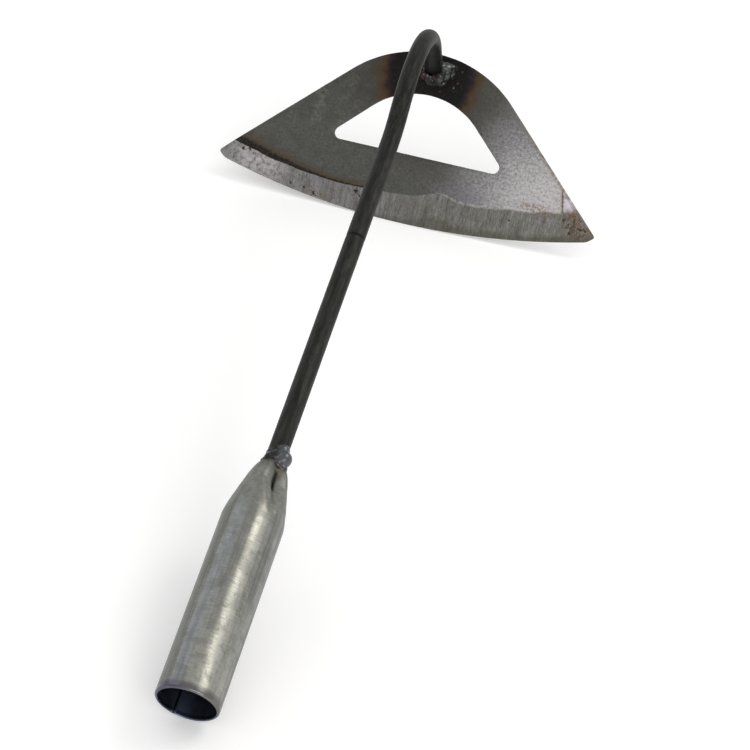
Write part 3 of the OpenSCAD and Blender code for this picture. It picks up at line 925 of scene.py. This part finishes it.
def weld_finish():
    """Dark lumpy metal with fine painted glints at the blade; smoother, with a blue-grey ball, at the socket.
    """
    s = Shader("weld_metal")
    p = s.local(TOOL)
    x, y, _ = s.split(p)
    xy = (x, y)
    lumps = s.noise(p, 0.22, 3.0)
    fine = s.noise(p, 0.8, 4.0, 0.65)
    colour = s.mix(s.span(lumps, 0.40, 0.62), rgb(28, 28, 30), rgb(52, 53, 55))
    right_side = s.mix(s.span(lumps, 0.42, 0.64), rgb(36, 38, 39), rgb(90, 94, 91))
    colour = s.mix(s.span(x, 2.0, 7.0), colour, right_side)
    rusty = s.span(s.noise(p, 0.16, 4.0, 0.6), 0.56, 0.64)
    rusty = s.calc("MAXIMUM", rusty, s.patch(xy, -3.6, FOOT_Y - 6.0, 2.4, 4.5))
    colour = s.mix(s.times(rusty, 0.5), colour, rgb(84, 50, 40))
    # Painted glints: fine light specks over the weld.
    colour = s.mix(s.times(s.span(fine, 0.59, 0.67), 0.5), colour, rgb(170, 172, 172))
    colour = s.mix(s.times(s.span(fine, 0.44, 0.36), 0.5), colour, rgb(28, 28, 30))

    ball = s.mix(s.span(x, -0.5, 3.4), rgb(48, 48, 47), rgb(92, 95, 98))
    # Painted glints: a few lighter specks on the ball.
    ball = s.mix(s.times(s.span(fine, 0.55, 0.70), 0.25), ball, rgb(128, 132, 134))
    browned = s.patch(xy, 4.2, PINCH_END - 3.2, 4.4, 3.6)
    ball = s.mix(s.times(browned, 0.62), ball, rgb(72, 52, 42))
    copper_spot = s.patch(xy, 0.9, PINCH_END + 0.8, 1.4, 0.9)
    ball = s.mix(s.times(copper_spot, 0.62), ball, rgb(150, 118, 100))
    at_socket = s.span(y, PINCH_END + 52.0, PINCH_END + 22.0)
    colour = s.mix(at_socket, colour, ball)

    rough = s.plus(0.22, s.times(fine, 0.22))
    normal = s.bump(s.plus(fine, lumps), 0.16, 0.0002)
    return s.finish(Base_Color=colour, Metallic=0.9, Roughness=rough, Normal=normal)


# ---------------------------------------------------------------- stage, light and camera

FLOOR_RADIUS, FLOOR_GLOW, WORLD_LIGHT = 6.0, 0.14, 0.72
WARM, COOL = (1.0, 0.98, 0.95), (0.93, 0.96, 1.0)

# Softboxes: name, place from the middle of the hoe in metres, width, depth, watts and colour.
SOFTBOXES = (
    ("softbox_behind", (0.66, 0.47, 0.88), 0.5, 0.5, 3.2, WARM),
    ("softbox_front", (0.50, -1.10, 0.66), 0.9, 0.7, 4.2, WARM),
    ("softbox_left", (-0.85, 0.35, 0.70), 0.6, 0.6, 1.1, COOL))

# The camera looks from the socket's end, from above and slightly from the right, tipped to one side.
CAMERA_PLACE = Vector((0.13959, -0.50726, 0.61723))
CAMERA_ELEVATION, CAMERA_AZIMUTH, CAMERA_ROLL = (math.radians(a) for a in (40.63, 9.64, 7.40))
LENS, SENSOR, SHIFT_X = 105.6, 36.0, -0.0009


def make_floor():
    s = Shader("floor_pale")
    s.finish(Base_Color=(0.94, 0.94, 0.94), Roughness=0.9, Emission_Color=(1.0, 1.0, 1.0),
             Emission_Strength=FLOOR_GLOW)
    work = bmesh.new()
    bmesh.ops.create_circle(work, cap_ends=True, segments=96, radius=FLOOR_RADIUS)
    mesh = bpy.data.meshes.new("floor")
    work.to_mesh(mesh)
    work.free()
    floor = bpy.data.objects.new("floor", mesh)
    floor.location = (0, 0, cad_low.z)
    mesh.materials.append(s.material)
    bpy.context.scene.collection.objects.link(floor)


def make_world():
    world = bpy.data.worlds.new("studio")
    bpy.context.scene.world = world
    world.use_nodes = True
    background = world.node_tree.nodes["Background"].inputs
    background["Color"].default_value = (1, 1, 1, 1)
    background["Strength"].default_value = WORLD_LIGHT


def make_lights():
    """A warm softbox behind to the right, one in front for the blade, and a cool one at the left."""
    middle = (cad_low + cad_high) / 2
    for name, offset, width, depth, watts, colour in SOFTBOXES:
        data = bpy.data.lights.new(name, "AREA")
        data.shape, data.size, data.size_y, data.energy = "RECTANGLE", width, depth, watts
        data.color = colour
        lamp = bpy.data.objects.new(name, data)
        bpy.context.scene.collection.objects.link(lamp)
        lamp.location = middle + Vector(offset)
        lamp.rotation_euler = (-Vector(offset)).to_track_quat("-Z", "Y").to_euler()


def make_camera():
    data = bpy.data.cameras.new("camera")
    data.lens, data.sensor_width, data.shift_x = LENS, SENSOR, SHIFT_X
    data.clip_start, data.clip_end = 0.01, 50
    camera = bpy.data.objects.new("camera", data)
    bpy.context.scene.collection.objects.link(camera)
    flat = math.cos(CAMERA_ELEVATION)
    back = Vector((math.sin(CAMERA_AZIMUTH) * flat, -math.cos(CAMERA_AZIMUTH) * flat,
                   math.sin(CAMERA_ELEVATION)))
    right = Vector((math.cos(CAMERA_AZIMUTH), math.sin(CAMERA_AZIMUTH), 0))
    up = back.cross(right)
    side = right * math.cos(CAMERA_ROLL) + up * math.sin(CAMERA_ROLL)
    top = up * math.cos(CAMERA_ROLL) - right * math.sin(CAMERA_ROLL)
    turn = Matrix((side, top, back)).transposed().to_4x4()
    camera.matrix_world = Matrix.Translation(CAMERA_PLACE) @ turn
    bpy.context.scene.camera = camera


make_blade(blade_finish())
make_bar(bar_finish())
make_socket(tube_finish())
make_welds(weld_finish())
make_floor()
make_world()
make_lights()
make_camera()
bpy.context.scene.view_settings.view_transform = "Standard"
